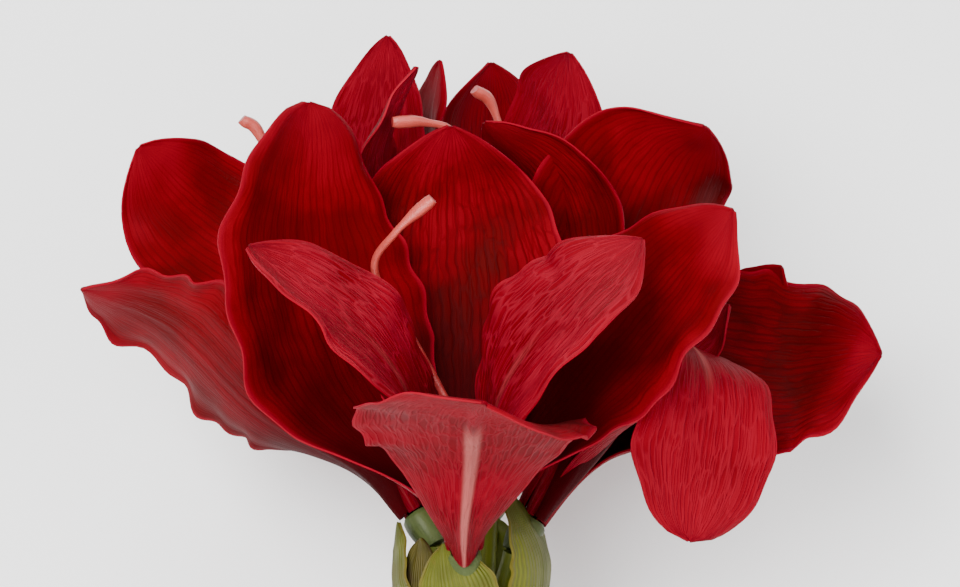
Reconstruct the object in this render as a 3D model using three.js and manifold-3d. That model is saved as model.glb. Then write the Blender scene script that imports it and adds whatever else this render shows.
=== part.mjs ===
// A cut umbel of a red amaryllis (Hippeastrum). Five funnel-shaped blooms, each of six
// tepals in two whorls round one style, stand on short pedicels at the top of a stout
// green scape, and the bracts of the opened spathe clasp the joint.
//
// The umbel is built upright: +Z runs up the scape, -Y is its show side and the origin
// is the top of the scape. It is then laid down on its back, so that tepals of the two
// rear blooms and the cut end of the scape rest on the surface.

import * as THREE from 'three';
import { mergeVertices } from 'three/addons/utils/BufferGeometryUtils.js';
import Module from 'manifold-3d';

const wasm = await Module();
wasm.setup();

// Driving dimensions, in millimetres and degrees.
const TEPAL_THICKNESS = 1.0;
const BRACT_THICKNESS = 1.2;
const CLEARANCE = 0.35;
const BLADE_ROWS = 9;
const BLADE_COLUMNS = 5;
const SCAPE_RADIUS = 12;
const SCAPE_LENGTH = 190;
const SCAPE_FLATTENING = 0.92;
const PEDICEL_RING = 6.9;
const PEDICEL_RADIUS = 3.1;
const OVARY_LENGTH = 12;
const OVARY_RADIUS = 5.4;
const STYLE_RADIUS = 1.1;
const STIGMA_RADIUS = 1.9;
const TUBE_SIDES = 8;

// How the finished umbel lies: tipped up towards its head, and turned about the scape.
const LYING_PITCH = 22.8;
const LYING_TURN = 2.5;

// Radii at which the two whorls of a bloom, and the bracts, leave their base ring and
// pass the top of the tube, and the funnel of a bloom from there on: how far up its axis
// and how far from it a tepal's midrib passes its belly, its shoulder and its tip.
const OUTER_WHORL = { base: 5.2, tube: 9.8, belly: [48, 28], shoulder: [78, 50], tip: [88, 78] };
const INNER_WHORL = { base: 3.4, tube: 6.6, belly: [54, 19], shoulder: [88, 33], tip: [106, 58] };
const SPATHE_WHORL = { base: 12.8, tube: 14.5 };

const RED = { color: 0x9e0f20, roughness: 0.55, metalness: 0 };
const DEEP_RED = { color: 0x7c0714, roughness: 0.55, metalness: 0 };
const CORAL = { color: 0xe0605c, roughness: 0.5, metalness: 0 };
const LEAF_GREEN = { color: 0xa9ad55, roughness: 0.6, metalness: 0 };
const GREY_GREEN = { color: 0x77805c, roughness: 0.6, metalness: 0 };
const STEM_GREEN = { color: 0x8a9c4c, roughness: 0.55, metalness: 0 };

// The six places of a bloom's tepals, as angles round its axis. 0 faces the show side.
const PLACES = {
  front: 0,
  front_right: 60,
  rear_right: 120,
  rear: 180,
  rear_left: -120,
  front_left: -60,
};

// Outline and curl of a blade where its own entry says nothing else. `widest` is the
// place of the greatest width along the blade, `point` how blunt its tip is, and the
// cups are the half angles of its cross-section at the base, the middle and the tip.
const BLADE = { widest: 0.62, point: 0.7, baseCup: 70, cup: 30, roll: 0 };

// Each tepal's midrib runs from its base ring over the tube and through three points,
// which follow the funnel of its whorl where its entry doesn't set them. The outer whorl
// stands at the place of the angle `outerAt` and at every second place from there, and
// `turn` turns all six places round the bloom's axis.
const BLOOMS = [
  {
    name: 'front_bloom',
    outerAt: 0,
    turn: 0,
    base: [-1, -24, 32],
    azimuth: 0,
    elevation: 58,
    tube: 16,
    style: [[0, -34, 55], [-4, -30, 72], [-16, -33, 95], [-27, -47, 115], [-21, -56, 126], [-10, -58, 136]],
    tepals: [
      { place: 'front', belly: [1, -58, 60], shoulder: [2, -90, 73], tip: [5, -122, 79], width: 68,
        baseCup: 50, cup: 14, tipCup: -16, roll: 2, tipRoll: -16, widest: 0.66, point: 0.55 },
      { place: 'front_left', belly: [-19, -66, 83], shoulder: [-39, -76, 106], tip: [-62, -78, 122], width: 50,
        cup: 24, tipCup: 26, roll: -30, tipRoll: -26, widest: 0.56 },
      { place: 'front_right', belly: [10, -64, 80], shoulder: [30, -78, 107], tip: [50, -76, 124], width: 66,
        cup: 18, tipCup: 14, roll: 32, widest: 0.54 },
      { place: 'rear_left', belly: [-36, -28, 81], shoulder: [-49, -32, 120], tip: [-47, -38, 165], width: 71,
        roll: -14, widest: 0.55, point: 0.5 },
      { place: 'rear_right', belly: [35, -30, 82], shoulder: [60, -38, 112], tip: [78, -44, 133], width: 64,
        widest: 0.6 },
      { place: 'rear', belly: [-3, -8, 92], shoulder: [-5, -2, 133], tip: [-5, -14, 159], width: 72,
        cup: 36, tipCup: 0, widest: 0.6 },
    ],
  },
  {
    name: 'left_bloom',
    outerAt: 60,
    turn: 0,
    base: [-16, 4, 42],
    azimuth: -115,
    elevation: 56,
    tube: 20,
    style: [[-33, 14, 79], [-52, 6, 125], [-63, 2, 156], [-69, 0, 162]],
    tepals: [
      { place: 'front_right', shoulder: [-80, 24, 130], tip: [-102, 16, 154], width: 60, cup: 25, roll: -35,
        widest: 0.7 },
      { place: 'front_left', shoulder: [-92, 10, 99], tip: [-118, 2, 110], width: 66, cup: 20, point: 0.75 },
      { place: 'front', shoulder: [-61, -10, 90], tip: [-68, -18, 103], width: 44, cup: 20 },
      { place: 'rear_right', shoulder: [-49, 30, 128], tip: [-55, 34, 152], width: 46, cup: 20 },
      { place: 'rear_left', shoulder: [-64, 66, 96], tip: [-76, 94, 92], width: 56, cup: 20 },
      { place: 'rear', shoulder: [-55, 78, 126], tip: [-69, 100, 143], width: 56, cup: 20 },
    ],
  },
  {
    name: 'right_bloom',
    outerAt: 0,
    turn: 20,
    base: [20, 2, 40],
    azimuth: 112,
    elevation: 58,
    tube: 24,
    style: [[38, 18, 69], [60, 22, 100], [75, 16, 118]],
    tepals: [
      { place: 'front', belly: [54, -10, 94], shoulder: [71, -34, 85], tip: [65, -42, 36], width: 46,
        baseCup: 60, cup: 14, widest: 0.8, point: 0.5 },
      { place: 'front_right', belly: [62, 14, 86], shoulder: [99, 22, 84], tip: [127, 8, 90], width: 72,
        cup: 25, roll: 65, widest: 0.7 },
      { place: 'front_left', shoulder: [63, -8, 93], tip: [79, -12, 105], width: 34, cup: 20 },
      { place: 'rear_right', shoulder: [90, 48, 102], tip: [99, 38, 117], width: 42, cup: 25 },
      { place: 'rear_left', shoulder: [66, 12, 119], tip: [80, 6, 132], width: 50, cup: 20 },
      { place: 'rear', shoulder: [73, 88, 110], tip: [85, 114, 113], width: 54, cup: 20 },
    ],
  },
  {
    name: 'rear_left_bloom',
    outerAt: 60,
    turn: 20,
    base: [-9, 26, 50],
    azimuth: -150,
    elevation: 60,
    tube: 16,
    style: [[-7, 30, 97], [-2, 16, 138], [-4, 4, 157], [-13, 0, 161], [-23, -2, 161]],
    tepals: [
      { place: 'front_left', shoulder: [-30, 30, 154], tip: [-25, 24, 189], width: 38, cup: 40, tipCup: 20,
        roll: 30 },
      { place: 'front', shoulder: [-27, 12, 148], tip: [-16, 4, 178], width: 34, cup: 40, roll: 50 },
      { place: 'front_right', shoulder: [-12, 62, 152], tip: [-9, 52, 183], width: 36, cup: 40, roll: 50 },
      { place: 'rear_left', width: 54, cup: 26 },
      { place: 'rear', width: 58, cup: 26 },
      { place: 'rear_right', width: 50, cup: 26 },
    ],
  },
  {
    name: 'rear_right_bloom',
    outerAt: 60,
    turn: -20,
    base: [10, 26, 50],
    azimuth: 142,
    elevation: 61,
    tube: 16,
    style: [[18, 38, 90], [15, 26, 138], [8, 22, 166], [2, 18, 172]],
    tepals: [
      { place: 'front_right', belly: [38, 24, 97], shoulder: [57, 22, 146], tip: [73, 8, 160], width: 80, cup: 20 },
      { place: 'front', belly: [26, 16, 97], shoulder: [25, 12, 138], tip: [5, 4, 161], width: 44, cup: 20 },
      { place: 'front_left', shoulder: [24, 52, 155], tip: [32, 44, 185], width: 60, roll: 35 },
      { place: 'rear_left', shoulder: [6, 84, 153], tip: [7, 76, 184], width: 60 },
      { place: 'rear_right', width: 50, cup: 26 },
      { place: 'rear', width: 58, cup: 26 },
    ],
  },
];

// The spathe's bracts are blades too, round the top of the scape.
const SPATHE = {
  base: [0, 0, -18],
  azimuth: 0,
  elevation: 90,
  tube: 12,
  bracts: [
    { name: 'spathe_bract_front', angle: -8, belly: [0, -20, 4], shoulder: [-3, -25, 19], tip: [-7, -23, 34],
      width: 27 },
    { name: 'spathe_bract_right', angle: 68, belly: [19, -9, 6], shoulder: [22, -8, 28], tip: [12, -8, 49],
      width: 33 },
    { name: 'spathe_bract_left', angle: -80, belly: [-19, -4, 4], shoulder: [-22, -6, 21], tip: [-21, -5, 39],
      width: 26 },
    { name: 'spathe_bract_front_left', angle: -44, belly: [-13, -15, 2], shoulder: [-15, -17, 18],
      tip: [-14, -15, 35], width: 19 },
    { name: 'spathe_bract_rear', angle: 178, belly: [1, 19, 4], shoulder: [2, 22, 22], tip: [0, 20, 42],
      width: 38 },
  ],
};

const { clamp, degToRad, euclideanModulo, lerp, smoothstep } = THREE.MathUtils;

function vector(point) {
  return new THREE.Vector3(...point);
}

// The frame of a bloom: its axis, and two directions square to it, the first of which
// faces the show side.
function bloomFrame({ base, azimuth, elevation, tube }) {
  const turn = degToRad(azimuth);
  const rise = degToRad(elevation);
  const axis = new THREE.Vector3(Math.sin(turn) * Math.cos(rise), -Math.cos(turn) * Math.cos(rise), Math.sin(rise));
  const show = new THREE.Vector3(0, -1, 0).projectOnPlane(axis).normalize();
  const side = new THREE.Vector3().crossVectors(axis, show);
  return { base: vector(base), tube, axis, show, side };
}

function radial(frame, angle) {
  const turn = degToRad(angle);
  return frame.show.clone().multiplyScalar(Math.cos(turn)).addScaledVector(frame.side, Math.sin(turn));
}

function funnelPoint(frame, angle, [rise, reach]) {
  return frame.base.clone().addScaledVector(frame.axis, rise).addScaledVector(radial(frame, angle), reach);
}

// Half the blade's width at the fraction `along` of its length.
function halfWidth({ width, widest, point }, along) {
  const rise = 0.1 + 0.9 * Math.sin((Math.PI / 2) * clamp(along / widest, 0, 1) ** 1.25);
  const fall = (1 - clamp((along - widest) / (1 - widest), 0, 1) ** 2) ** point;
  return (width / 2) * Math.max(along < widest ? rise : fall, 0.03);
}

// A value that goes from `base` over `middle` to `tip` along the blade.
function along3(base, middle, tip, along) {
  const rise = smoothstep(along, 0, 0.5);
  return lerp(base, middle, rise) + (tip - middle) * smoothstep(along, 0.5, 1);
}

// The surface of one blade, as a function of the place along it (0 to 1), the place
// across it (-1 to 1) and the height above its middle layer. Thickening also makes the
// blade wider, and longer at both ends.
function bladeSurface(frame, whorl, angle, entry, thickening) {
  const blade = { ...BLADE, ...entry };
  const facing = radial(frame, angle);
  const points = [funnelPoint(frame, angle, [0, whorl.base]), funnelPoint(frame, angle, [frame.tube, whorl.tube])];
  for (const stage of ['belly', 'shoulder', 'tip']) {
    points.push(blade[stage] ? vector(blade[stage]) : funnelPoint(frame, angle, whorl[stage]));
  }
  const midrib = new THREE.CatmullRomCurve3(points, false, 'catmullrom', 0.5);
  const tipCup = blade.tipCup ?? blade.cup / 2;
  const tipRoll = blade.tipRoll ?? blade.roll;
  return (along, across, height) => {
    const centre = midrib.getPointAt(along);
    const tangent = midrib.getTangentAt(along);
    const flat = new THREE.Vector3().crossVectors(frame.axis, facing).projectOnPlane(tangent).normalize();
    const roll = degToRad(along3(0, blade.roll, tipRoll, along));
    const width = flat.applyAxisAngle(tangent, roll);
    const inner = new THREE.Vector3().crossVectors(tangent, width);
    const cup = degToRad(along3(blade.baseCup, blade.cup, tipCup, along)) || 0.001;
    const half = halfWidth(blade, along);
    const reach = half / cup;
    const bend = cup * across * (1 + thickening / half);
    centre.addScaledVector(tangent, thickening * Math.trunc(2 * along - 1));
    const sideways = reach * Math.sin(bend) - height * Math.sin(bend);
    const lift = reach * (1 - Math.cos(bend)) + height * Math.cos(bend);
    return centre.addScaledVector(width, sideways).addScaledVector(inner, lift);
  };
}

// Joins rings of points, each of the same even count, into one closed skin. The two
// end rings are closed by strips between their halves.
function loft(rings) {
  const count = rings[0].length;
  const position = rings.flat().flatMap((point) => point.toArray());
  const index = [];
  for (let row = 0; row < rings.length - 1; row += 1) {
    for (let step = 0; step < count; step += 1) {
      const a = row * count + step;
      const b = row * count + ((step + 1) % count);
      index.push(a, b, b + count, a, b + count, a + count);
    }
  }
  const last = (rings.length - 1) * count;
  for (let step = 0; step < count / 2 - 1; step += 1) {
    const far = count - 1 - step;
    index.push(step, far - 1, step + 1, step, far, far - 1);
    index.push(last + step, last + step + 1, last + far - 1, last + step, last + far - 1, last + far);
  }
  const geometry = new THREE.BufferGeometry();
  geometry.setAttribute('position', new THREE.Float32BufferAttribute(position, 3));
  geometry.setIndex(index);
  return geometry;
}

// A blade of the given thickness: each ring runs over its outer face and back over its
// inner face.
function bladeGeometry(frame, whorl, angle, entry, thickness, thickening) {
  const surface = bladeSurface(frame, whorl, angle, entry, thickening);
  const half = thickness / 2 + thickening;
  const columns = Array.from({ length: BLADE_COLUMNS }, (_, column) => (2 * column) / (BLADE_COLUMNS - 1) - 1);
  const rings = [];
  for (let row = 0; row <= BLADE_ROWS; row += 1) {
    const along = row / BLADE_ROWS;
    const outerFace = columns.map((across) => surface(along, across, -half));
    const innerFace = columns.map((across) => surface(along, across, half)).reverse();
    rings.push([...outerFace, ...innerFace]);
  }
  return loft(rings);
}

// A round stalk along a smooth curve, with a radius that depends on the place along it.
function stalkGeometry(points, radiusAt, rows, thickening) {
  const curve = new THREE.CatmullRomCurve3(points, false, 'catmullrom', 0.5);
  const frames = curve.computeFrenetFrames(rows, false);
  const rings = [];
  for (let row = 0; row <= rows; row += 1) {
    const centre = curve.getPointAt(row / rows);
    const radius = radiusAt(row / rows) + thickening;
    const ring = [];
    for (let step = 0; step < TUBE_SIDES; step += 1) {
      const turn = (2 * Math.PI * step) / TUBE_SIDES;
      const arm = frames.normals[row].clone().multiplyScalar(radius * Math.cos(turn));
      ring.push(centre.clone().add(arm).addScaledVector(frames.binormals[row], radius * Math.sin(turn)));
    }
    rings.push(ring);
  }
  return loft(rings);
}

// A closed geometry as a solid, with its seams merged and its faces pointing out.
function toSolid(geometry) {
  const bare = new THREE.BufferGeometry();
  bare.setAttribute('position', geometry.getAttribute('position').clone());
  bare.setIndex(geometry.getIndex());
  const merged = mergeVertices(bare, 1e-4);
  const vertProperties = merged.getAttribute('position').array;
  const triVerts = new Uint32Array(merged.getIndex().array);
  const kept = [];
  for (let corner = 0; corner < triVerts.length; corner += 3) {
    const [a, b, c] = triVerts.subarray(corner, corner + 3);
    if (a !== b && b !== c && c !== a) {
      kept.push(a, b, c);
    }
  }
  return new wasm.Manifold(new wasm.Mesh({ numProp: 3, vertProperties, triVerts: new Uint32Array(kept) }));
}

function toGeometry(solid) {
  const mesh = solid.getMesh();
  const geometry = new THREE.BufferGeometry();
  geometry.setAttribute('position', new THREE.BufferAttribute(new Float32Array(mesh.vertProperties), 3));
  geometry.setIndex(new THREE.BufferAttribute(new Uint32Array(mesh.triVerts), 1));
  geometry.computeVertexNormals();
  return geometry;
}

const umbel = new THREE.Group();
const inPlace = [];

// Adds a piece. Where it runs into one that is already in place, that neighbour, grown by
// the clearance, is taken out of it, and its largest remainder is kept.
function addPiece(name, look, build) {
  let solid = toSolid(build(0));
  for (const { body, grown } of inPlace) {
    if (solid.intersect(body).volume() > 0) {
      solid = solid.subtract(grown);
    }
  }
  const remainders = solid.decompose().sort((a, b) => b.volume() - a.volume());
  const mesh = new THREE.Mesh(toGeometry(remainders[0]), new THREE.MeshStandardMaterial(look));
  mesh.name = name;
  umbel.add(mesh);
  inPlace.push({ body: remainders[0], grown: toSolid(build(CLEARANCE)) });
}

// The scape, a stout stem with a slightly flattened section, cut square at its foot.
function scapeGeometry(thickening) {
  const radius = SCAPE_RADIUS + thickening;
  const profile = [
    new THREE.Vector2(0, -SCAPE_LENGTH - thickening),
    new THREE.Vector2(radius, -SCAPE_LENGTH - thickening),
    new THREE.Vector2(radius * 0.96, -SCAPE_LENGTH / 2),
    new THREE.Vector2(radius, -8),
    new THREE.Vector2(radius * 0.95, -1),
    new THREE.Vector2(0, thickening),
  ];
  const geometry = new THREE.LatheGeometry(profile, 20);
  geometry.rotateX(Math.PI / 2);
  geometry.scale(1, SCAPE_FLATTENING, 1);
  return geometry;
}

addPiece('scape', STEM_GREEN, scapeGeometry);

const frames = BLOOMS.map(bloomFrame);

// Each bloom stands on an ovary, at the end of a pedicel that rises from the scape.
BLOOMS.forEach((bloom, number) => {
  const frame = frames[number];
  const turn = degToRad(bloom.azimuth);
  const ovaryFoot = frame.base.clone().addScaledVector(frame.axis, -OVARY_LENGTH);
  const ovaryTop = frame.base.clone().addScaledVector(frame.axis, -2 * CLEARANCE);
  const swelling = (along) => lerp(PEDICEL_RADIUS, OVARY_RADIUS, Math.sin(Math.PI * (0.1 + 0.6 * along)));
  addPiece(`${bloom.name}_ovary`, GREY_GREEN, (thickening) =>
    stalkGeometry([ovaryFoot, ovaryFoot.clone().lerp(ovaryTop, 0.5), ovaryTop], swelling, 4, thickening));

  const root = new THREE.Vector3(PEDICEL_RING * Math.sin(turn), -PEDICEL_RING * Math.cos(turn), CLEARANCE);
  const top = ovaryFoot.clone().addScaledVector(frame.axis, -CLEARANCE);
  const middle = root.clone().lerp(top, 0.5).add(new THREE.Vector3(0, 0, 2));
  addPiece(`${bloom.name}_pedicel`, LEAF_GREEN, (thickening) =>
    stalkGeometry([root, middle, top], () => PEDICEL_RADIUS, 5, thickening));
});

// The tepals and the style of each bloom.
BLOOMS.forEach((bloom, number) => {
  const frame = frames[number];
  bloom.tepals.forEach((tepal) => {
    const outer = euclideanModulo(PLACES[tepal.place] - bloom.outerAt, 120) === 0;
    const angle = PLACES[tepal.place] + bloom.turn;
    const whorl = outer ? OUTER_WHORL : INNER_WHORL;
    addPiece(`${bloom.name}_${tepal.place}_tepal`, outer ? RED : DEEP_RED, (thickening) =>
      bladeGeometry(frame, whorl, angle, tepal, TEPAL_THICKNESS, thickening));
  });
  const foot = frame.base.clone().addScaledVector(frame.axis, CLEARANCE);
  const stylePoints = [foot, ...bloom.style.map(vector)];
  const knob = (along) => lerp(STYLE_RADIUS, STIGMA_RADIUS, smoothstep(along, 0.92, 0.97));
  addPiece(`${bloom.name}_style`, CORAL, (thickening) => stalkGeometry(stylePoints, knob, 16, thickening));
});

// The bracts of the spathe.
const spatheFrame = bloomFrame(SPATHE);
SPATHE.bracts.forEach((bract) => {
  addPiece(bract.name, LEAF_GREEN, (thickening) =>
    bladeGeometry(spatheFrame, SPATHE_WHORL, bract.angle, bract, BRACT_THICKNESS, thickening));
});

// Laid down on its back, with the origin at the middle of the footprint.
umbel.rotation.set(degToRad(LYING_PITCH - 90), 0, degToRad(LYING_TURN));
umbel.updateMatrixWorld(true);
const bounds = new THREE.Box3().setFromObject(umbel, true);
const middle = bounds.getCenter(new THREE.Vector3());
umbel.position.set(-middle.x, -middle.y, -bounds.min.z);

const group = new THREE.Group();
group.add(umbel);

export default group;
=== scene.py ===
import bisect
import math
import bmesh
import bpy
from mathutils import Matrix, Vector, noise
from mathutils.bvhtree import BVHTree


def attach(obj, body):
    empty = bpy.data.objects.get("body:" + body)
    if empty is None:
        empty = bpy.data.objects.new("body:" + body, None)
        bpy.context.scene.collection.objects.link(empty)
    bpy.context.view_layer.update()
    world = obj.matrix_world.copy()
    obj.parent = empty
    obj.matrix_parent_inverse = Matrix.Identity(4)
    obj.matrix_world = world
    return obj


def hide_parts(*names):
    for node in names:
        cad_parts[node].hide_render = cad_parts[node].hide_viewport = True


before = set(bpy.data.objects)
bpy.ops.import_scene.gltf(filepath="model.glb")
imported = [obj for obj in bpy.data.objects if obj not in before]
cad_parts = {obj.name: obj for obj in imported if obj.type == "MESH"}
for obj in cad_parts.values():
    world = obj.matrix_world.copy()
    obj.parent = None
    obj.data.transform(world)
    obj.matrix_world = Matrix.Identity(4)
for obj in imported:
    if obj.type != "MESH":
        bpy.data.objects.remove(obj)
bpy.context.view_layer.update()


# ---------------------------------------------------------------------------------------
# Scape. The stout stem that carries the umbel: a solid, slightly flattened round of green
# tissue, finely ribbed, with a waxy bloom. Its head is domed where the pedicels stand on
# it, and its foot is cut square, which bares the pale wet pith.
# ---------------------------------------------------------------------------------------
SCAPE_RADIUS = 12.0
SCAPE_LENGTH = 190.0
SCAPE_FLATTENING = 0.92
SCAPE_SIDES = 96
SCAPE_CUTS = 60
HEAD_RIM = 1.1

# The rings of the head and of the foot: how far each is set in, and how far it is drawn up.
HEAD_RINGS = ((2.2, 0.34), (2.6, 0.3), (2.8, 0.22), (2.2, 0.12))
FOOT_RINGS = ((2.4, 0.25), (3.2, 0.2), (2.6, -0.1))
RIND = 1.0

# Every piece is shaped in millimetres with the umbel upright: z runs up the scape from
# its head, and -y is the show side. LYING then lays it on its back on the surface.
LYING = (
    Matrix.Scale(0.001, 4)
    @ Matrix.Translation((-4.1395, -10.1313, 84.115))
    @ Matrix.Rotation(math.radians(22.8 - 90), 4, "X")
    @ Matrix.Rotation(math.radians(2.5), 4, "Z")
)
SURFACE_GAP = 0.00005
IN_PLACE = []


def pick(piece, kind, test):
    """Goes to edit mode with those faces, edges or corners selected that pass the test."""
    bpy.ops.object.mode_set(mode="EDIT")
    bpy.ops.mesh.select_mode(type=kind)
    bpy.ops.mesh.select_all(action="DESELECT")
    bpy.ops.object.mode_set(mode="OBJECT")
    mesh = piece.data
    members = {"FACE": mesh.polygons, "EDGE": mesh.edges, "VERT": mesh.vertices}[kind]
    for member in members:
        member.select = test(member)
    bpy.ops.object.mode_set(mode="EDIT")


def is_upright(piece):
    """A test for the edges of a piece that run along z."""
    corners = piece.data.vertices

    def test(edge):
        run = corners[edge.vertices[1]].co - corners[edge.vertices[0]].co
        return abs(run.z) > 0.9 * run.length
    return test


def skin_of(piece):
    """The piece's skin as a tree in which crossings with another one are found."""
    corners = [corner.co.copy() for corner in piece.data.vertices]
    faces = [tuple(face.vertices) for face in piece.data.polygons]
    return BVHTree.FromPolygons(corners, faces)


def volume_of(piece):
    shell = bmesh.new()
    shell.from_mesh(piece.data)
    volume = shell.calc_volume()
    shell.free()
    return volume


def fit_in(piece):
    """Cuts the piece back where it runs into one that is in place, and keeps its main part."""
    skin = skin_of(piece)
    crossed = [other for other, other_skin in IN_PLACE if skin.overlap(other_skin)]
    for other in crossed:
        cut = piece.modifiers.new("fit", "BOOLEAN")
        cut.operation = "DIFFERENCE"
        cut.solver = "MANIFOLD"
        cut.object = other
        bpy.ops.object.modifier_apply(modifier="fit")
    if crossed:
        bpy.ops.object.mode_set(mode="EDIT")
        bpy.ops.mesh.select_all(action="SELECT")
        bpy.ops.mesh.separate(type="LOOSE")
        bpy.ops.object.mode_set(mode="OBJECT")
        parts = sorted(bpy.context.selected_objects, key=volume_of, reverse=True)
        piece = parts[0]
        for scrap in parts[1:]:
            bpy.data.objects.remove(scrap)
    IN_PLACE.append((piece, skin_of(piece)))
    return piece


def lay_down(piece, name, crease=50):
    """Lays the finished piece on the surface, fits it in and hands it to the frame."""
    bpy.ops.object.mode_set(mode="OBJECT")
    bpy.ops.object.select_all(action="DESELECT")
    bpy.context.view_layer.objects.active = piece
    piece.select_set(True)
    piece.data.transform(LYING)
    for corner in piece.data.vertices:
        corner.co.z = max(corner.co.z, SURFACE_GAP)
    piece = fit_in(piece)
    piece.name = name + "_piece"
    piece.data.name = piece.name
    bpy.context.view_layer.objects.active = piece
    piece.select_set(True)
    bpy.ops.object.shade_smooth_by_angle(angle=math.radians(crease))
    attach(piece, "root")
    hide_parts(name)


def knot(tree, kind, inputs=None, **settings):
    """Adds a shader node. An input is set to a value, or joined to another node's output."""
    node = tree.nodes.new(kind)
    for setting, value in settings.items():
        setattr(node, setting, value)
    for socket, value in (inputs or {}).items():
        if isinstance(value, bpy.types.NodeSocket):
            tree.links.new(value, node.inputs[socket])
        else:
            node.inputs[socket].default_value = value
    return node


def number(tree, operation, *values):
    return knot(tree, "ShaderNodeMath", dict(enumerate(values)), operation=operation).outputs[0]


def blend(tree, amount, under, over):
    """The colour `over` laid on the colour `under` by an amount from 0 to 1."""
    inputs = {0: amount, 6: under, 7: over}
    return knot(tree, "ShaderNodeMix", inputs, data_type="RGBA").outputs[2]


def stage_in(tree, value, low, high, to_low=0.0, to_high=1.0):
    """Turns a value smoothly from one amount to another as it goes from low to high."""
    limits = {"From Min": low, "From Max": high, "To Min": to_low, "To Max": to_high}
    turned = knot(
        tree, "ShaderNodeMapRange", {"Value": value, **limits}, interpolation_type="SMOOTHSTEP")
    return turned.outputs["Result"]


def body_place(tree):
    return knot(tree, "ShaderNodeTexCoord").outputs["Object"]


def sheet_place(tree):
    return knot(tree, "ShaderNodeUVMap", uv_map="UVMap").outputs["UV"]


def clouds(tree, place, scale, detail, output=0):
    inputs = {"Vector": place, "Scale": scale, "Detail": detail}
    return knot(tree, "ShaderNodeTexNoise", inputs).outputs[output]


def dots(tree, place, scale):
    """How far it is to the nearest of many scattered points."""
    return knot(tree, "ShaderNodeTexVoronoi", {"Vector": place, "Scale": scale}).outputs["Distance"]


def from_midrib(tree, spot):
    """How far a place is from the middle of a sheet: 0 on its midrib, 1 on its margins."""
    across = number(tree, "MULTIPLY_ADD", spot.outputs["X"], 2.0, -1.0)
    return number(tree, "ABSOLUTE", across)


def new_finish(name):
    material = bpy.data.materials.new(name)
    material.use_nodes = True
    tree = material.node_tree
    return material, tree, tree.nodes["Principled BSDF"]


def relief(tree, shader, height, depth, strength):
    inputs = {"Height": height, "Distance": depth, "Strength": strength}
    bump = knot(tree, "ShaderNodeBump", inputs)
    tree.links.new(bump.outputs["Normal"], shader.inputs["Normal"])


def green_finish(name, pale, deep, stain, stain_amount, streaks, roughness):
    """Waxy plant skin: streaks along the piece, soft mottling, a few stains and pores."""
    material, tree, shader = new_finish(name)
    place = body_place(tree)
    uv = sheet_place(tree)
    along = knot(tree, "ShaderNodeMapping", {"Vector": uv, "Scale": (streaks, 2.0, 1.0)})
    fibres = clouds(tree, along.outputs[0], 1.0, 5.0)
    mottle = clouds(tree, place, 90.0, 4.0)
    blot = clouds(tree, place, 45.0, 6.0)
    pores = dots(tree, place, 1400.0)
    ground = blend(tree, stage_in(tree, mottle, 0.35, 0.65), pale, deep)
    ground = blend(tree, stage_in(tree, fibres, 0.46, 0.66, 0.0, 0.7), ground, deep)
    ground = blend(tree, stage_in(tree, blot, 0.54, 0.72, 0.0, stain_amount), ground, stain)
    ground = blend(tree, stage_in(tree, pores, 0.0, 0.35, 0.25, 0.0), ground, pale)
    tree.links.new(ground, shader.inputs["Base Color"])
    gloss = stage_in(tree, mottle, 0.3, 0.7, roughness - 0.08, roughness + 0.1)
    tree.links.new(gloss, shader.inputs["Roughness"])
    shader.inputs["Specular IOR Level"].default_value = 0.22
    height = number(tree, "MULTIPLY_ADD", fibres, 0.8, number(tree, "MULTIPLY", pores, 0.25))
    relief(tree, shader, height, 0.0005, 0.55)
    return material


STEM_SKIN = green_finish(
    "stem_skin", pale=(0.11, 0.135, 0.012, 1), deep=(0.065, 0.09, 0.007, 1),
    stain=(0.12, 0.085, 0.012, 1), stain_amount=0.35, streaks=46.0, roughness=0.5)

bpy.ops.object.select_all(action="DESELECT")
bpy.ops.mesh.primitive_cylinder_add(
    vertices=SCAPE_SIDES, radius=SCAPE_RADIUS, depth=SCAPE_LENGTH - 1,
    location=(0, 0, -0.5 * SCAPE_LENGTH - 0.5))
scape = bpy.context.active_object
bpy.ops.object.transform_apply(location=True, rotation=False, scale=False)
pick(scape, "EDGE", is_upright(scape))
bpy.ops.mesh.subdivide(number_cuts=SCAPE_CUTS)

# The head: a rounded rim, and a low dome that is drawn up in steps.
pick(scape, "FACE", lambda face: face.normal.z > 0.9)
bpy.ops.mesh.bevel(offset=HEAD_RIM, segments=4, affect="EDGES")
pick(scape, "FACE", lambda face: face.normal.z > 0.9 and len(face.vertices) > 40)
for inset, rise in HEAD_RINGS:
    bpy.ops.mesh.inset(thickness=inset)
    bpy.ops.transform.translate(value=(0, 0, rise))

# The foot: a crisp cut, the pith sunk a little behind the firm rind.
pick(scape, "FACE", lambda face: face.normal.z < -0.9 and len(face.vertices) > 40)
bpy.ops.mesh.inset(thickness=0.35)
bpy.ops.mesh.inset(thickness=RIND)
bpy.ops.transform.translate(value=(0, 0, 0.35))
for inset, rise in FOOT_RINGS:
    bpy.ops.mesh.inset(thickness=inset)
    bpy.ops.transform.translate(value=(0, 0, rise))
bpy.ops.object.mode_set(mode="OBJECT")

for corner in scape.data.vertices:
    turn = math.atan2(corner.co.y, corner.co.x)
    up = min(max((corner.co.z + SCAPE_LENGTH) / SCAPE_LENGTH, 0), 1)
    waist = 1 - 0.035 * math.sin(math.pi * up)
    sway = 0.6 * math.sin(corner.co.z / 30)
    rib = 1 + 0.007 * math.cos(17 * turn + sway) + 0.004 * math.cos(41 * turn)
    corner.co.x *= waist * rib
    corner.co.y *= waist * rib * SCAPE_FLATTENING


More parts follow.
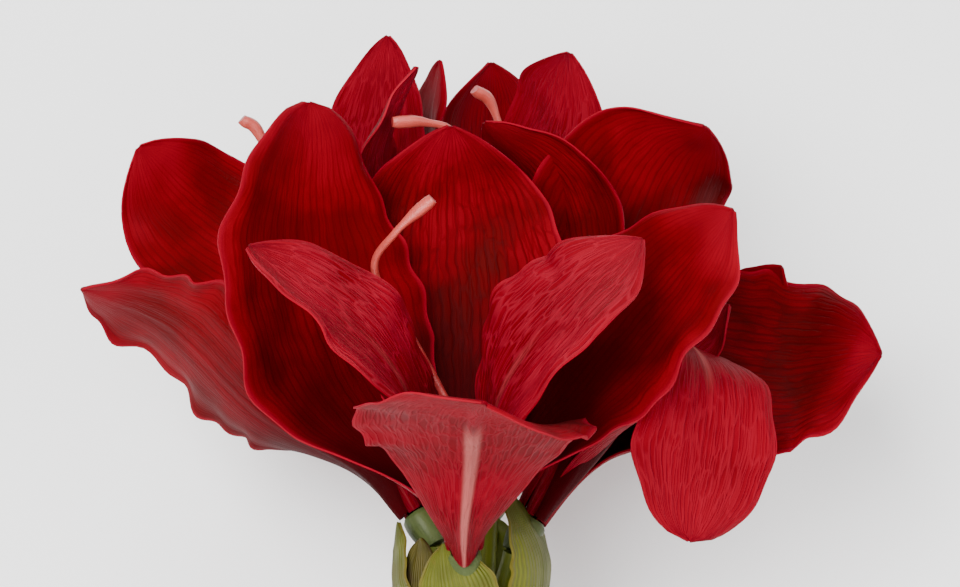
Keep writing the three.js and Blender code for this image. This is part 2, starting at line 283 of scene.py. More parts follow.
def cut_finish():
    """The cut foot: pale wet pith with the ends of the vessels scattered in it."""
    material, tree, shader = new_finish("cut_pith")
    place = body_place(tree)
    cells = dots(tree, place, 700.0)
    vessels = dots(tree, place, 330.0)
    ground = blend(
        tree, stage_in(tree, cells, 0.1, 0.6), (0.62, 0.66, 0.38, 1), (0.42, 0.49, 0.2, 1))
    ground = blend(tree, stage_in(tree, vessels, 0.1, 0.22, 0.8, 0.0), ground, (0.2, 0.24, 0.06, 1))
    tree.links.new(ground, shader.inputs["Base Color"])
    shader.inputs["Roughness"].default_value = 0.3
    relief(tree, shader, cells, 0.0004, 0.5)
    return material


scape.data.materials.append(STEM_SKIN)
scape.data.materials.append(cut_finish())
for face in scape.data.polygons:
    if face.center.z < -0.995 * SCAPE_LENGTH and face.normal.z < -0.7:
        face.material_index = 1
lay_down(scape, "scape", crease=35)


# ---------------------------------------------------------------------------------------
# Pedicels. Five short round stalks, one under each bloom, that rise from a ring on the
# head of the scape and lean outwards. They are of the same green tissue as the scape,
# smooth and a little shiny.
# ---------------------------------------------------------------------------------------
PEDICEL_RADIUS = 3.1
PEDICEL_RING = 6.9
OVARY_LENGTH = 12.0
HAIRLINE = 0.35
LINE_STEPS = 60

# Where each bloom's tube begins, where its axis points, and how long the tube is.
BLOOM_SEATS = {
    "front_bloom": {"base": (-1, -24, 32), "azimuth": 0, "elevation": 58, "tube": 16},
    "left_bloom": {"base": (-16, 4, 42), "azimuth": -115, "elevation": 56, "tube": 20},
    "right_bloom": {"base": (20, 2, 40), "azimuth": 112, "elevation": 58, "tube": 24},
    "rear_left_bloom": {"base": (-9, 26, 50), "azimuth": -150, "elevation": 60, "tube": 16},
    "rear_right_bloom": {"base": (10, 26, 50), "azimuth": 142, "elevation": 61, "tube": 16},
}


def seat_axis(seat):
    """The base of a bloom or of the spathe, and the way its axis points."""
    turn = math.radians(seat["azimuth"])
    rise = math.radians(seat["elevation"])
    level = math.cos(rise)
    axis = Vector((math.sin(turn) * level, -math.cos(turn) * level, math.sin(rise)))
    return Vector(seat["base"]), axis


def bent_line(points):
    """A smooth line through the points, as a function that gives place and direction."""
    points = [Vector(point) for point in points]
    knots = [2 * points[0] - points[1], *points, 2 * points[-1] - points[-2]]
    steps = LINE_STEPS
    places = []
    for span in range(len(points) - 1):
        a, b, c, d = knots[span:span + 4]
        for step in range(steps + (span == len(points) - 2)):
            t = step / steps
            places.append(
                b + 0.5 * t * (c - a)
                + t * t * (-3 * b + 3 * c - 0.5 * (2 * (c - a) + (d - b)))
                + t * t * t * (2 * b - 2 * c + 0.5 * ((c - a) + (d - b))))
    run = [0.0]
    for before, after in zip(places, places[1:]):
        run.append(run[-1] + (after - before).length)

    def at(along):
        target = min(max(along, 0.0), 1.0) * run[-1]
        index = min(max(bisect.bisect_right(run, target) - 1, 0), len(run) - 2)
        part = (target - run[index]) / (run[index + 1] - run[index])
        first = places[max(index - 1, 0)]
        last = places[min(index + 2, len(places) - 1)]
        return places[index].lerp(places[index + 1], part), (last - first).normalized()
    return at


def stalk(points, radius_at, rows, sides, lobes=0.0):
    """A round stalk along a bent line. Its rows crowd towards both ends."""
    line = bent_line(points)
    bpy.ops.object.select_all(action="DESELECT")
    bpy.ops.mesh.primitive_cylinder_add(
        vertices=sides, radius=1, depth=1, location=(0, 0, 0.5))
    piece = bpy.context.active_object
    bpy.ops.object.transform_apply(location=True, rotation=False, scale=False)
    pick(piece, "EDGE", is_upright(piece))
    bpy.ops.mesh.subdivide(number_cuts=rows)
    bpy.ops.object.mode_set(mode="OBJECT")
    for corner in piece.data.vertices:
        along = 0.5 - 0.5 * math.cos(math.pi * min(max(corner.co.z, 0), 1))
        centre, tangent = line(along)
        side = tangent.cross(Vector((0.2, 1, 0.1))).normalized()
        other = tangent.cross(side)
        turn = math.atan2(corner.co.y, corner.co.x)
        radius = radius_at(along) * (1 + lobes * math.cos(3 * turn))
        corner.co = centre + radius * (math.cos(turn) * side + math.sin(turn) * other)
    bpy.ops.object.mode_set(mode="EDIT")
    bpy.ops.mesh.select_all(action="SELECT")
    bpy.ops.mesh.normals_make_consistent(inside=False)
    bpy.ops.object.mode_set(mode="OBJECT")
    return piece


def ease(value, low, high):
    part = min(max((value - low) / (high - low), 0.0), 1.0)
    return part * part * (3 - 2 * part)


PEDICEL_SKIN = green_finish(
    "pedicel_skin", pale=(0.11, 0.125, 0.01, 1), deep=(0.07, 0.085, 0.006, 1),
    stain=(0.1, 0.07, 0.01, 1), stain_amount=0.3, streaks=14.0, roughness=0.45)

for bloom, seat in BLOOM_SEATS.items():
    base, axis = seat_axis(seat)
    turn = math.radians(seat["azimuth"])
    root = Vector((PEDICEL_RING * math.sin(turn), -PEDICEL_RING * math.cos(turn), HAIRLINE))
    top = base - axis * (OVARY_LENGTH + HAIRLINE)
    middle = root.lerp(top, 0.5) + Vector((0, 0, 2))
    pedicel = stalk(
        [root, middle, top],
        lambda along: PEDICEL_RADIUS
        * (1 + 0.07 * ease(along, 0.2, 0.0) + 0.05 * ease(along, 0.85, 1.0)),
        rows=28, sides=28)
    pedicel.data.materials.append(PEDICEL_SKIN)
    lay_down(pedicel, bloom + "_pedicel")


# ---------------------------------------------------------------------------------------
# Ovaries. The swollen grey-green seed case between each pedicel and the tube of its
# bloom: three chambers side by side, so that its section is softly three-lobed, with a
# dull waxy skin.
# ---------------------------------------------------------------------------------------
OVARY_RADIUS = 5.4
OVARY_SKIN = green_finish(
    "ovary_skin", pale=(0.07, 0.09, 0.025, 1), deep=(0.04, 0.055, 0.014, 1),
    stain=(0.07, 0.03, 0.014, 1), stain_amount=0.5, streaks=12.0, roughness=0.55)

for bloom, seat in BLOOM_SEATS.items():
    base, axis = seat_axis(seat)
    foot = base - axis * OVARY_LENGTH
    top = base - axis * 2 * HAIRLINE
    ovary = stalk(
        [foot, foot.lerp(top, 0.5), top],
        lambda along: (
            PEDICEL_RADIUS
            + (OVARY_RADIUS - PEDICEL_RADIUS) * math.sin(math.pi * (0.1 + 0.6 * along)))
        * (1 - 0.12 * ease(along, 0.9, 1.0)),
        rows=24, sides=48, lobes=0.045)
    ovary.data.materials.append(OVARY_SKIN)
    lay_down(ovary, bloom + "_ovary")


# ---------------------------------------------------------------------------------------
# Tepals of the front bloom. Six thin fleshy petals in two whorls grow out of one tube.
# The three outer ones are broad, the front one with a thick pale keel down its back, and
# the three inner ones stand between them. All have ruffled, slightly rolled margins.
# ---------------------------------------------------------------------------------------
TEPAL_THICKNESS = 1.0
BLADE_COLUMNS = 44
BLADE_ROWS = 84

# Round the axis, how far out and how far up the tube each whorl starts and opens.
OUTER_WHORL = {
    "base": 5.2, "tube": 9.8, "belly": (48, 28), "shoulder": (78, 50), "tip": (88, 78)}
INNER_WHORL = {
    "base": 3.4, "tube": 6.6, "belly": (54, 19), "shoulder": (88, 33), "tip": (106, 58)}
PLACES = {
    "front": 0, "front_right": 60, "rear_right": 120,
    "rear": 180, "rear_left": -120, "front_left": -60}

# The outline, cup and roll of a blade, and the ruffle of its margins, where its own
# entry says nothing else.
BLADE = {
    "widest": 0.62, "point": 0.7, "base_cup": 70, "cup": 30, "roll": 0,
    "ruffle": 1.3, "waves": 3.4, "scallop": 0.022, "margin": 1.1, "keel": 0.5, "pleats": 0.16,
}

# Shorter waves run over the first one on each margin, and the two margins aren't alike.
SHORT_WAVE = 2.3
SCALLOP_WAVE = 2.1
MARGIN_SHIFT = 2.1
SEED_SHIFT = 1.7
DRIFT = 0.9
MARGIN_START = 0.84
KEEL_WIDTH = 1.5
PLEAT_TURN = 15.7
MARGIN_THINNING = 0.62
THINNEST = 0.3


def spread(value_base, value_middle, value_tip, along):
    return (value_base + (value_middle - value_base) * ease(along, 0.0, 0.5)
            + (value_tip - value_middle) * ease(along, 0.5, 1.0))


def half_width(blade, along):
    widest = blade["widest"]
    if along < widest:
        share = 0.1 + 0.9 * math.sin(0.5 * math.pi * (along / widest) ** 1.25)
    else:
        share = (1 - min((along - widest) / (1 - widest), 1.0) ** 2) ** blade["point"]
    return 0.5 * blade["width"] * max(share, 0.03)


def seed_of(name):
    return sum(ord(letter) for letter in name) % 97


def grow_blade(
        seat, whorl, angle, entry, thickness, finishes, seed,
        rows=BLADE_ROWS, columns=BLADE_COLUMNS):
    """One blade: a flat grid that is bent round its midrib, ruffled and given its thickness.

    The first finish is that of its back, and the second that of its inner face.
    """
    blade = {**BLADE, **entry}
    base, axis = seat_axis(seat)
    show = (Vector((0, -1, 0)) - axis * axis.dot(Vector((0, -1, 0)))).normalized()
    side = axis.cross(show)
    facing = show * math.cos(math.radians(angle)) + side * math.sin(math.radians(angle))
    points = [base + facing * whorl["base"], base + axis * seat["tube"] + facing * whorl["tube"]]
    for stage in ("belly", "shoulder", "tip"):
        if stage in blade:
            points.append(Vector(blade[stage]))
        else:
            rise, reach = whorl[stage]
            points.append(base + axis * rise + facing * reach)
    midrib = bent_line(points)
    tip_cup = blade.get("tip_cup", blade["cup"] / 2)
    tip_roll = blade.get("tip_roll", blade["roll"])

    bpy.ops.object.select_all(action="DESELECT")
    bpy.ops.mesh.primitive_grid_add(x_subdivisions=columns, y_subdivisions=rows, size=2)
    piece = bpy.context.active_object
    for finish in finishes:
        piece.data.materials.append(finish)
    body = piece.vertex_groups.new(name="body")
    for corner in piece.data.vertices:
        across = corner.co.x
        along = 0.5 + 0.5 * corner.co.y
        centre, tangent = midrib(along)
        flat = axis.cross(facing)
        flat = (flat - tangent * tangent.dot(flat)).normalized()
        roll = math.radians(spread(0, blade["roll"], tip_roll, along))
        width = Matrix.Rotation(roll, 3, tangent) @ flat
        inner = tangent.cross(width)
        cup = math.radians(spread(blade["base_cup"], blade["cup"], tip_cup, along)) or 0.001

        edge = abs(across)
        phase = seed * SEED_SHIFT + (MARGIN_SHIFT if across > 0 else 0.0)
        open_part = ease(along, 0.22, 0.5) * (1 - 0.6 * ease(along, 0.9, 1.0))
        wave = math.sin(2 * math.pi * blade["waves"] * along + phase)
        wave += 0.5 * math.sin(
            2 * math.pi * SHORT_WAVE * blade["waves"] * along + 2.6 * phase)
        scallop = math.sin(2 * math.pi * SCALLOP_WAVE * blade["waves"] * along + 1.3 * phase)
        notch = blade["scallop"] * scallop * edge ** 3 * open_part
        half = half_width(blade, along) * (1 + notch)
        drift = noise.noise(Vector((across * 1.6 + seed, along * 4.2, seed * 0.37)))
        height = blade["ruffle"] * wave * edge ** 3 * open_part
        height += DRIFT * drift * open_part * ease(edge, 0.05, 0.4)
        height -= blade["margin"] * ease(edge, MARGIN_START, 1.0) ** 1.5 * open_part
        height -= (blade["keel"] * math.exp(-(across * half / KEEL_WIDTH) ** 2)
                   * (1 - ease(along, 0.8, 1.0)))
        height += (blade["pleats"] * math.cos(across * PLEAT_TURN) * open_part
                   * (1 - ease(along, 0.75, 1.0)))
        reach = half / cup
        bend = cup * across
        sideways = (reach - height) * math.sin(bend)
        lift = reach * (1 - math.cos(bend)) + height * math.cos(bend)
        corner.co = centre + width * sideways + inner * lift
        body.add([corner.index], 1 - MARGIN_THINNING * ease(edge, 0.7, 1.0), "REPLACE")

    wall = piece.modifiers.new("wall", "SOLIDIFY")
    wall.thickness = thickness
    wall.offset = 0
    wall.vertex_group = "body"
    wall.thickness_vertex_group = THINNEST
    wall.material_offset = 1
    bpy.ops.object.modifier_apply(modifier="wall")
    piece.vertex_groups.clear()
    return piece


# Painted shade: a near-black red laid over the lower tepal. It is partly the throat's own darker
# colour and partly shade from inside the bloom painted in.
THROAT_TONE_AND_PAINTED_SHADE = (0.012, 0.0, 0.0005, 1)
KEEL_SHADE = (0.36, 0.1, 0.09, 1)


def tepal_finish(
        name, deep, bright, vein, painted_rim_highlight, net, throat_tone_and_shade, emboss, keel=0.0, roughness=0.58):
    """Satin petal skin: long veins, a fine net between them, a darker throat deepened with painted
    shade, and painted highlights along the margins and tip.

    The veins are raised where `emboss` is above 0, as on the backs, and sunk where it is below.
    """
    material, tree, shader = new_finish(name)
    place = body_place(tree)
    uv = sheet_place(tree)
    spot = knot(tree, "ShaderNodeSeparateXYZ", {"Vector": uv})
    across = from_midrib(tree, spot)
    along = spot.outputs["Y"]

    # The veins waver a little, so the map is pushed about by a soft noise first.
    sway = clouds(tree, place, 110.0, 2.0, "Color")
    moves = (("SUBTRACT", (0.5, 0.5, 0.5)), ("MULTIPLY", (0.035, 0.09, 0.0)), ("ADD", uv))
    for operation, other in moves:
        step = knot(tree, "ShaderNodeVectorMath", {0: sway, 1: other}, operation=operation)
        sway = step.outputs[0]
    lines = knot(
        tree, "ShaderNodeTexWave",
        {"Vector": sway, "Scale": 7.5, "Distortion": 0.6, "Detail": 2.0, "Detail Scale": 1.4},
    ).outputs["Fac"]
    veins = stage_in(tree, lines, 0.72, 0.98)
    stretched = knot(tree, "ShaderNodeMapping", {"Vector": sway, "Scale": (30.0, 12.0, 1.0)})
    cells = knot(
        tree, "ShaderNodeTexVoronoi",
        {"Vector": stretched.outputs[0], "Scale": 1.0, "Randomness": 0.85},
        feature="DISTANCE_TO_EDGE").outputs["Distance"]
    netting = stage_in(tree, cells, 0.015, 0.16, 1.0, 0.0)
    patches = clouds(tree, place, 38.0, 3.0)
    grain = clouds(tree, place, 2600.0, 2.0)

    ground = blend(tree, stage_in(tree, patches, 0.36, 0.66), deep, bright)
    ground = blend(tree, number(tree, "MULTIPLY", netting, net), ground, vein)
    ground = blend(tree, number(tree, "MULTIPLY", veins, 0.35), ground, vein)
    # Painted shade: each face darkens towards the tube, partly the throat's own colour and partly
    # painted shade from inside the bloom.
    ground = blend(tree, stage_in(tree, along, 0.2, 0.74, throat_tone_and_shade, 0.0), ground, THROAT_TONE_AND_PAINTED_SHADE)
    # Painted highlight: the tip and the margins are lightened to a pinker red where the satin edges
    # catch the light.
    ground = blend(tree, stage_in(tree, along, 0.8, 1.0, 0.0, 0.3), ground, painted_rim_highlight)
    ground = blend(tree, stage_in(tree, across, 0.93, 1.0, 0.0, 0.55), ground, painted_rim_highlight)
    if keel:
        rib = stage_in(tree, across, 0.03, 0.1, keel, 0.0)
        rib = number(tree, "MULTIPLY", rib, stage_in(tree, along, 0.55, 0.72, 1.0, 0.0))
        ground = blend(tree, rib, ground, KEEL_SHADE)
    tree.links.new(ground, shader.inputs["Base Color"])
    gloss = stage_in(tree, patches, 0.3, 0.7, roughness - 0.07, roughness + 0.08)
    tree.links.new(gloss, shader.inputs["Roughness"])
    shader.inputs["Specular IOR Level"].default_value = 0.04
    shader.inputs["Specular Tint"].default_value = (1.0, 0.5, 0.52, 1)
    height = number(tree, "MULTIPLY", netting, 0.8 * emboss)
    height = number(tree, "MULTIPLY_ADD", veins, 0.6 * emboss, height)
    height = number(tree, "MULTIPLY_ADD", grain, 0.1, height)
    relief(tree, shader, height, 0.0005, 0.9)
    return material


# The throat amounts set how far the painted shade darkens each face towards the tube.
OUTER_TEPAL_FINISHES = (
    tepal_finish(
        "outer_tepal_back", deep=(0.1, 0.0, 0.003, 1), bright=(0.16, 0.0, 0.006, 1),
        vein=(0.21, 0.004, 0.013, 1), painted_rim_highlight=(0.24, 0.004, 0.014, 1),
        net=0.45, throat_tone_and_shade=0.1, emboss=0.45, keel=0.65),
    tepal_finish(
        "outer_tepal_face", deep=(0.075, 0.0, 0.001, 1), bright=(0.15, 0.0, 0.004, 1),
        vein=(0.04, 0.0, 0.0006, 1), painted_rim_highlight=(0.26, 0.002, 0.014, 1),
        net=0.12, throat_tone_and_shade=0.8, emboss=-0.1),
)
INNER_TEPAL_FINISHES = (
    tepal_finish(
        "inner_tepal_back", deep=(0.11, 0.0, 0.003, 1), bright=(0.175, 0.0, 0.007, 1),
        vein=(0.25, 0.008, 0.02, 1), painted_rim_highlight=(0.26, 0.006, 0.016, 1),
        net=0.5, throat_tone_and_shade=0.05, emboss=0.55, keel=0.1),
    tepal_finish(
        "inner_tepal_face", deep=(0.065, 0.0, 0.0006, 1), bright=(0.14, 0.0, 0.004, 1),
        vein=(0.02, 0.0, 0.0004, 1), painted_rim_highlight=(0.26, 0.002, 0.014, 1),
        net=0.25, throat_tone_and_shade=0.93, emboss=-0.22),
)


def grow_tepals(bloom, outer_at, turn, tepals):
    """All six tepals of a bloom. Outer ones stand at `outer_at` and every 120 degrees.

    A tepal that is `turned` has twisted above the tube, and has its paler back inside.
    """
    for place, entry in tepals.items():
        outer = (PLACES[place] - outer_at) % 120 == 0
        whorl = OUTER_WHORL if outer else INNER_WHORL
        name = bloom + "_" + place + "_tepal"
        finishes = OUTER_TEPAL_FINISHES if outer else INNER_TEPAL_FINISHES
        if entry.get("turned"):
            finishes = finishes[::-1]
        tepal = grow_blade(
            BLOOM_SEATS[bloom], whorl, PLACES[place] + turn, entry, TEPAL_THICKNESS, finishes,
            seed_of(name))
        lay_down(tepal, name)


grow_tepals("front_bloom", 0, 0, {
    "front": {
        "belly": (1, -58, 60), "shoulder": (2, -90, 73), "tip": (5, -122, 79), "width": 68,
        "base_cup": 50, "cup": 14, "tip_cup": -16, "roll": 2, "tip_roll": -16, "widest": 0.66,
        "point": 0.55, "keel": 2.0, "margin": 0.4},
    "front_left": {
        "belly": (-19, -66, 83), "shoulder": (-39, -76, 106), "tip": (-62, -78, 122),
        "width": 50, "cup": 24, "tip_cup": 26, "roll": -30, "tip_roll": -26, "widest": 0.56,
        "turned": True},
    "front_right": {
        "belly": (10, -64, 80), "shoulder": (30, -78, 107), "tip": (50, -76, 124), "width": 66,
        "cup": 18, "tip_cup": 14, "roll": 32, "widest": 0.54, "turned": True},
    "rear_left": {
        "belly": (-36, -28, 81), "shoulder": (-49, -32, 120), "tip": (-47, -38, 165),
        "width": 71, "roll": -14, "widest": 0.55, "point": 0.5, "margin": 2.4},
    "rear_right": {
        "belly": (35, -30, 82), "shoulder": (60, -38, 112), "tip": (78, -44, 133), "width": 64,
        "widest": 0.6, "margin": 2.4},
    "rear": {
        "belly": (-3, -8, 92), "shoulder": (-5, -2, 133), "tip": (-5, -14, 159), "width": 72,
        "cup": 36, "tip_cup": 0, "widest": 0.6},
})


# ---------------------------------------------------------------------------------------
# Tepals of the left bloom. It leans out to the left and shows two broad, scalloped
# tepals beside the front bloom. The others are packed behind it.
# ---------------------------------------------------------------------------------------
grow_tepals("left_bloom", 60, 0, {
    "front_right": {
        "shoulder": (-80, 24, 130), "tip": (-102, 16, 154), "width": 60, "cup": 25, "roll": -35,
        "widest": 0.7, "turned": True},
    "front_left": {
        "shoulder": (-92, 10, 99), "tip": (-118, 2, 110), "width": 66, "cup": 20, "point": 0.75,
        "ruffle": 1.8, "scallop": 0.04, "waves": 4.2, "turned": True},
    "front": {"shoulder": (-61, -10, 90), "tip": (-68, -18, 103), "width": 44, "cup": 20},
    "rear_right": {"shoulder": (-49, 30, 128), "tip": (-55, 34, 152), "width": 46, "cup": 20},
    "rear_left": {"shoulder": (-64, 66, 96), "tip": (-76, 94, 92), "width": 56, "cup": 20},
    "rear": {"shoulder": (-55, 78, 126), "tip": (-69, 100, 143), "width": 56, "cup": 20},
})


# ---------------------------------------------------------------------------------------
# Tepals of the right bloom. It leans out to the right, where its front tepal hangs down
# like a tongue and a second one spreads out sideways. A few narrow ones curl between
# them and the front bloom.
# ---------------------------------------------------------------------------------------
grow_tepals("right_bloom", 0, 20, {
    "front": {
        "belly": (54, -10, 94), "shoulder": (71, -34, 85), "tip": (65, -42, 36), "width": 46,
        "base_cup": 60, "cup": 14, "widest": 0.8, "point": 0.5, "turned": True},
    "front_right": {
        "belly": (62, 14, 86), "shoulder": (99, 22, 84), "tip": (127, 8, 90), "width": 72,
        "cup": 25, "roll": 65, "widest": 0.7, "ruffle": 1.8, "scallop": 0.04, "waves": 4.2},
    "front_left": {"shoulder": (63, -8, 93), "tip": (79, -12, 105), "width": 34, "cup": 20},
    "rear_right": {"shoulder": (90, 48, 102), "tip": (99, 38, 117), "width": 42, "cup": 25},
    "rear_left": {"shoulder": (66, 12, 119), "tip": (80, 6, 132), "width": 50, "cup": 20},
    "rear": {"shoulder": (73, 88, 110), "tip": (85, 114, 113), "width": 54, "cup": 20},
})


# ---------------------------------------------------------------------------------------
# Tepals of the rear left bloom. It stands behind the front bloom. Three narrow tepals
# rise from it like flames, and three more spread over the surface.
# ---------------------------------------------------------------------------------------
grow_tepals("rear_left_bloom", 60, 20, {
    "front_left": {
        "shoulder": (-30, 30, 154), "tip": (-25, 24, 189), "width": 38, "cup": 40, "tip_cup": 20,
        "roll": 30},
    "front": {"shoulder": (-27, 12, 148), "tip": (-16, 4, 178), "width": 34, "cup": 40, "roll": 50},
    "front_right": {
        "shoulder": (-12, 62, 152), "tip": (-9, 52, 183), "width": 36, "cup": 40, "roll": 50},
    "rear_left": {"width": 54, "cup": 26},
    "rear": {"width": 58, "cup": 26},
    "rear_right": {"width": 50, "cup": 26},
})


# ---------------------------------------------------------------------------------------
# Tepals of the rear right bloom. One very broad tepal spreads behind the front bloom,
# and a narrower one leans over in front of it. The others stand behind them or spread
# over the surface.
# ---------------------------------------------------------------------------------------
grow_tepals("rear_right_bloom", 60, -20, {
    "front_right": {
        "belly": (38, 24, 97), "shoulder": (57, 22, 146), "tip": (73, 8, 160), "width": 80,
        "cup": 20, "turned": True},
    "front": {
        "belly": (26, 16, 97), "shoulder": (25, 12, 138), "tip": (5, 4, 161), "width": 44,
        "cup": 20, "turned": True},
    "front_left": {"shoulder": (24, 52, 155), "tip": (32, 44, 185), "width": 60, "roll": 35},
    "rear_left": {"shoulder": (6, 84, 153), "tip": (7, 76, 184), "width": 60},
    "rear_right": {"width": 50, "cup": 26},
    "rear": {"width": 58, "cup": 26},
})


# ---------------------------------------------------------------------------------------
# Styles. One thin fleshy thread runs up through each bloom from its ovary and ends in a
# blunt three-lobed stigma. It is coral red, paler towards the stigma, and finely beaded.
# ---------------------------------------------------------------------------------------
STYLE_RADIUS = 1.1
STIGMA_RADIUS = 1.9
STYLE_LINES = {
    "front_bloom": [(0, -34, 55), (-4, -30, 72), (-16, -33, 95), (-27, -47, 115), (-21, -56, 126),
                    (-10, -58, 136)],
    "left_bloom": [(-33, 14, 79), (-52, 6, 125), (-63, 2, 156), (-69, 0, 162)],
    "right_bloom": [(38, 18, 69), (60, 22, 100), (75, 16, 118)],
    "rear_left_bloom": [(-7, 30, 97), (-2, 16, 138), (-4, 4, 157), (-13, 0, 161), (-23, -2, 161)],
    "rear_right_bloom": [(18, 38, 90), (15, 26, 138), (8, 22, 166), (2, 18, 172)],
}


def style_finish():
    material, tree, shader = new_finish("style_skin")
    place = body_place(tree)
    uv = sheet_place(tree)
    along = knot(tree, "ShaderNodeSeparateXYZ", {"Vector": uv}).outputs["Y"]
    patches = clouds(tree, place, 260.0, 3.0)
    beads = dots(tree, place, 2200.0)
    ground = blend(
        tree, stage_in(tree, patches, 0.38, 0.62), (0.26, 0.012, 0.014, 1), (0.36, 0.03, 0.026, 1))
    ground = blend(tree, stage_in(tree, along, 0.7, 0.95, 0.0, 0.6), ground, (0.42, 0.06, 0.04, 1))
    ground = blend(tree, stage_in(tree, beads, 0.0, 0.4, 0.3, 0.0), ground, (0.5, 0.11, 0.08, 1))
    tree.links.new(ground, shader.inputs["Base Color"])
    shader.inputs["Roughness"].default_value = 0.45
    shader.inputs["Subsurface Weight"].default_value = 0.1
    shader.inputs["Subsurface Scale"].default_value = 0.001
    relief(tree, shader, number(tree, "MULTIPLY", beads, -1.0), 0.0002, 0.5)
    return material


STYLE_SKIN = style_finish()


def style_radius(along):
    knob = ease(along, 0.90, 0.965) * (1 - 0.35 * ease(along, 0.985, 1.0))
    return STYLE_RADIUS + (STIGMA_RADIUS - STYLE_RADIUS) * knob


for bloom, line in STYLE_LINES.items():
    base, axis = seat_axis(BLOOM_SEATS[bloom])
    style = stalk([base + axis * HAIRLINE, *line], style_radius, rows=110, sides=24, lobes=0.07)
    style.data.materials.append(STYLE_SKIN)
    lay_down(style, bloom + "_style")


# ---------------------------------------------------------------------------------------
# Bracts of the spathe. The leafy sheath that wrapped the buds has split into five limp
# pieces that clasp the head of the scape: yellow-green, finely ribbed along, with dry
# brownish margins.
# ---------------------------------------------------------------------------------------
BRACT_THICKNESS = 1.2
SPATHE_SEAT = {"base": (0, 0, -18), "azimuth": 0, "elevation": 90, "tube": 12}
SPATHE_WHORL = {"base": 12.8, "tube": 14.5}
BRACT_MARGINS = {"ruffle": 0.35, "margin": 0.3, "keel": 0.4, "pleats": 0.12, "scallop": 0.03}
BRACTS = {
    "spathe_bract_front": (-8, {
        "belly": (0, -20, 4), "shoulder": (-3, -25, 19), "tip": (-7, -23, 34), "width": 27}),
    "spathe_bract_right": (68, {
        "belly": (19, -9, 6), "shoulder": (22, -8, 28), "tip": (12, -8, 49), "width": 33}),
    "spathe_bract_left": (-80, {
        "belly": (-19, -4, 4), "shoulder": (-22, -6, 21), "tip": (-21, -5, 39), "width": 26}),
    "spathe_bract_front_left": (-44, {
        "belly": (-13, -15, 2), "shoulder": (-15, -17, 18), "tip": (-14, -15, 35), "width": 19}),
    "spathe_bract_rear": (178, {
        "belly": (1, 19, 4), "shoulder": (2, 22, 22), "tip": (0, 20, 42), "width": 38}),
}


def bract_finish(name, pale, deep, dry, dryness):
    material, tree, shader = new_finish(name)
    place = body_place(tree)
    uv = sheet_place(tree)
    spot = knot(tree, "ShaderNodeSeparateXYZ", {"Vector": uv})
    across = from_midrib(tree, spot)
    ribs = knot(
        tree, "ShaderNodeTexWave",
        {"Vector": uv, "Scale": 6.0, "Distortion": 0.8, "Detail": 2.0}).outputs["Fac"]
    patches = clouds(tree, place, 85.0, 4.0)
    specks = clouds(tree, place, 420.0, 3.0)
    ground = blend(tree, stage_in(tree, patches, 0.35, 0.65), pale, deep)
    ground = blend(tree, stage_in(tree, ribs, 0.5, 0.95, 0.0, 0.45), ground, deep)
    ground = blend(tree, stage_in(tree, patches, 0.5, 0.72, 0.0, dryness), ground, dry)
    ground = blend(tree, stage_in(tree, specks, 0.6, 0.72, 0.0, 0.35), ground, dry)
    ground = blend(tree, stage_in(tree, across, 0.86, 1.0, 0.0, 0.6), ground, dry)
    tree.links.new(ground, shader.inputs["Base Color"])
    tree.links.new(stage_in(tree, patches, 0.3, 0.7, 0.5, 0.68), shader.inputs["Roughness"])
    shader.inputs["Specular IOR Level"].default_value = 0.2
    height = number(tree, "MULTIPLY_ADD", ribs, 0.8, number(tree, "MULTIPLY", specks, 0.3))
    relief(tree, shader, height, 0.0005, 0.55)
    return material


FRESH_BRACT = bract_finish(
    "fresh_bract", pale=(0.085, 0.09, 0.004, 1), deep=(0.05, 0.058, 0.002, 1),
    dry=(0.1, 0.07, 0.008, 1), dryness=0.35)
OLIVE_BRACT = bract_finish(
    "olive_bract", pale=(0.06, 0.046, 0.003, 1), deep=(0.035, 0.03, 0.002, 1),
    dry=(0.03, 0.014, 0.004, 1), dryness=0.7)

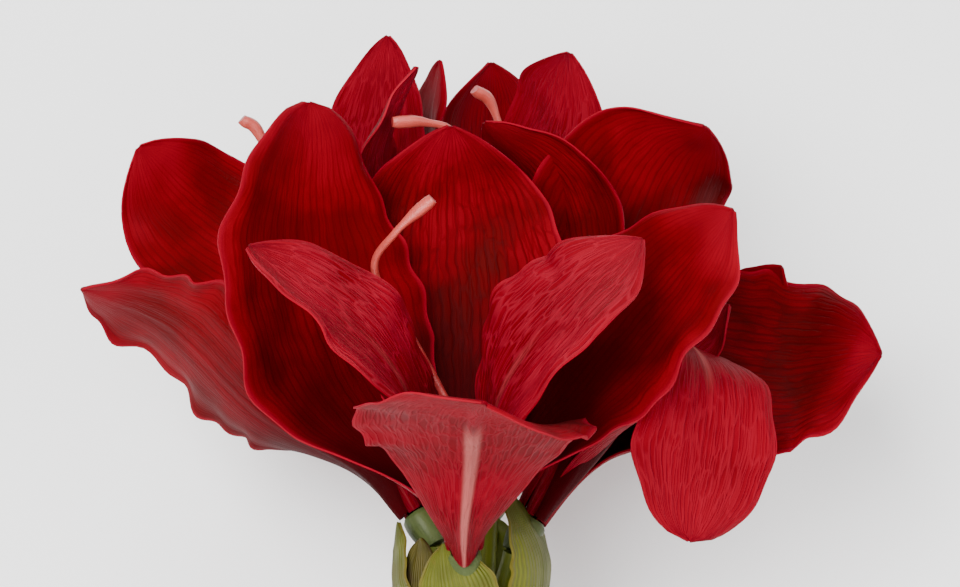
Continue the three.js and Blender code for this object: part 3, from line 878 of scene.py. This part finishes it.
for name, (angle, entry) in BRACTS.items():
    finish = OLIVE_BRACT if name == "spathe_bract_front_left" else FRESH_BRACT
    bract = grow_blade(
        SPATHE_SEAT, SPATHE_WHORL, angle, {**entry, **BRACT_MARGINS}, BRACT_THICKNESS,
        [finish, finish], seed_of(name), rows=56, columns=32)
    lay_down(bract, name)


# ---------------------------------------------------------------------------------------
# Floor, lights and camera. The flower head lies on a plain pale floor under large soft
# lights, and the camera looks down on its show side.
# ---------------------------------------------------------------------------------------
FLOOR_SIZE = 12
DAYLIGHT = 0.5
LAMPS_AIM = Vector((0, 0.05, 0.1))
LENS = 135.2
SENSOR_WIDTH = 36
CAMERA_PLACE = (3.66, -1100, 108.7)

bpy.ops.object.select_all(action="DESELECT")
bpy.ops.mesh.primitive_plane_add(size=FLOOR_SIZE, location=(0, 0, 0))
floor = bpy.context.active_object
floor.name = "floor"
floor_paint, _, floor_shader = new_finish("floor_paint")
floor_shader.inputs["Base Color"].default_value = (0.95, 0.95, 0.95, 1)
floor_shader.inputs["Roughness"].default_value = 0.9
floor.data.materials.append(floor_paint)

world = bpy.data.worlds.new("studio")
bpy.context.scene.world = world
world.use_nodes = True
sky = world.node_tree.nodes["Background"]
sky.inputs["Color"].default_value = (1, 1, 1, 1)
sky.inputs["Strength"].default_value = DAYLIGHT

for name, place, size, power in (
    ("key_light", (-0.35, -0.15, 1.4), 0.8, 42.0),
    ("foot_light", (-0.2, -1.2, 0.8), 0.8, 14.0),
    ("fill_light", (0.9, -0.2, 1.0), 0.9, 10.0),
    ("head_light", (0.1, 1.2, 0.8), 0.7, 10.0),
):
    bpy.ops.object.light_add(type="AREA", location=place)
    lamp = bpy.context.active_object
    lamp.name = name
    lamp.data.size = size
    lamp.data.energy = power
    lamp.rotation_euler = (LAMPS_AIM - Vector(place)).to_track_quat("-Z", "Y").to_euler()

bpy.ops.object.camera_add()
camera = bpy.context.active_object
camera.name = "camera"
camera.data.sensor_width = SENSOR_WIDTH
camera.data.lens = LENS
camera.data.clip_end = 50
stand = LYING @ Matrix.Translation(CAMERA_PLACE) @ Matrix.Rotation(math.radians(90), 4, "X")
camera.location = stand.to_translation()
camera.rotation_euler = stand.to_euler()
bpy.context.scene.camera = camera
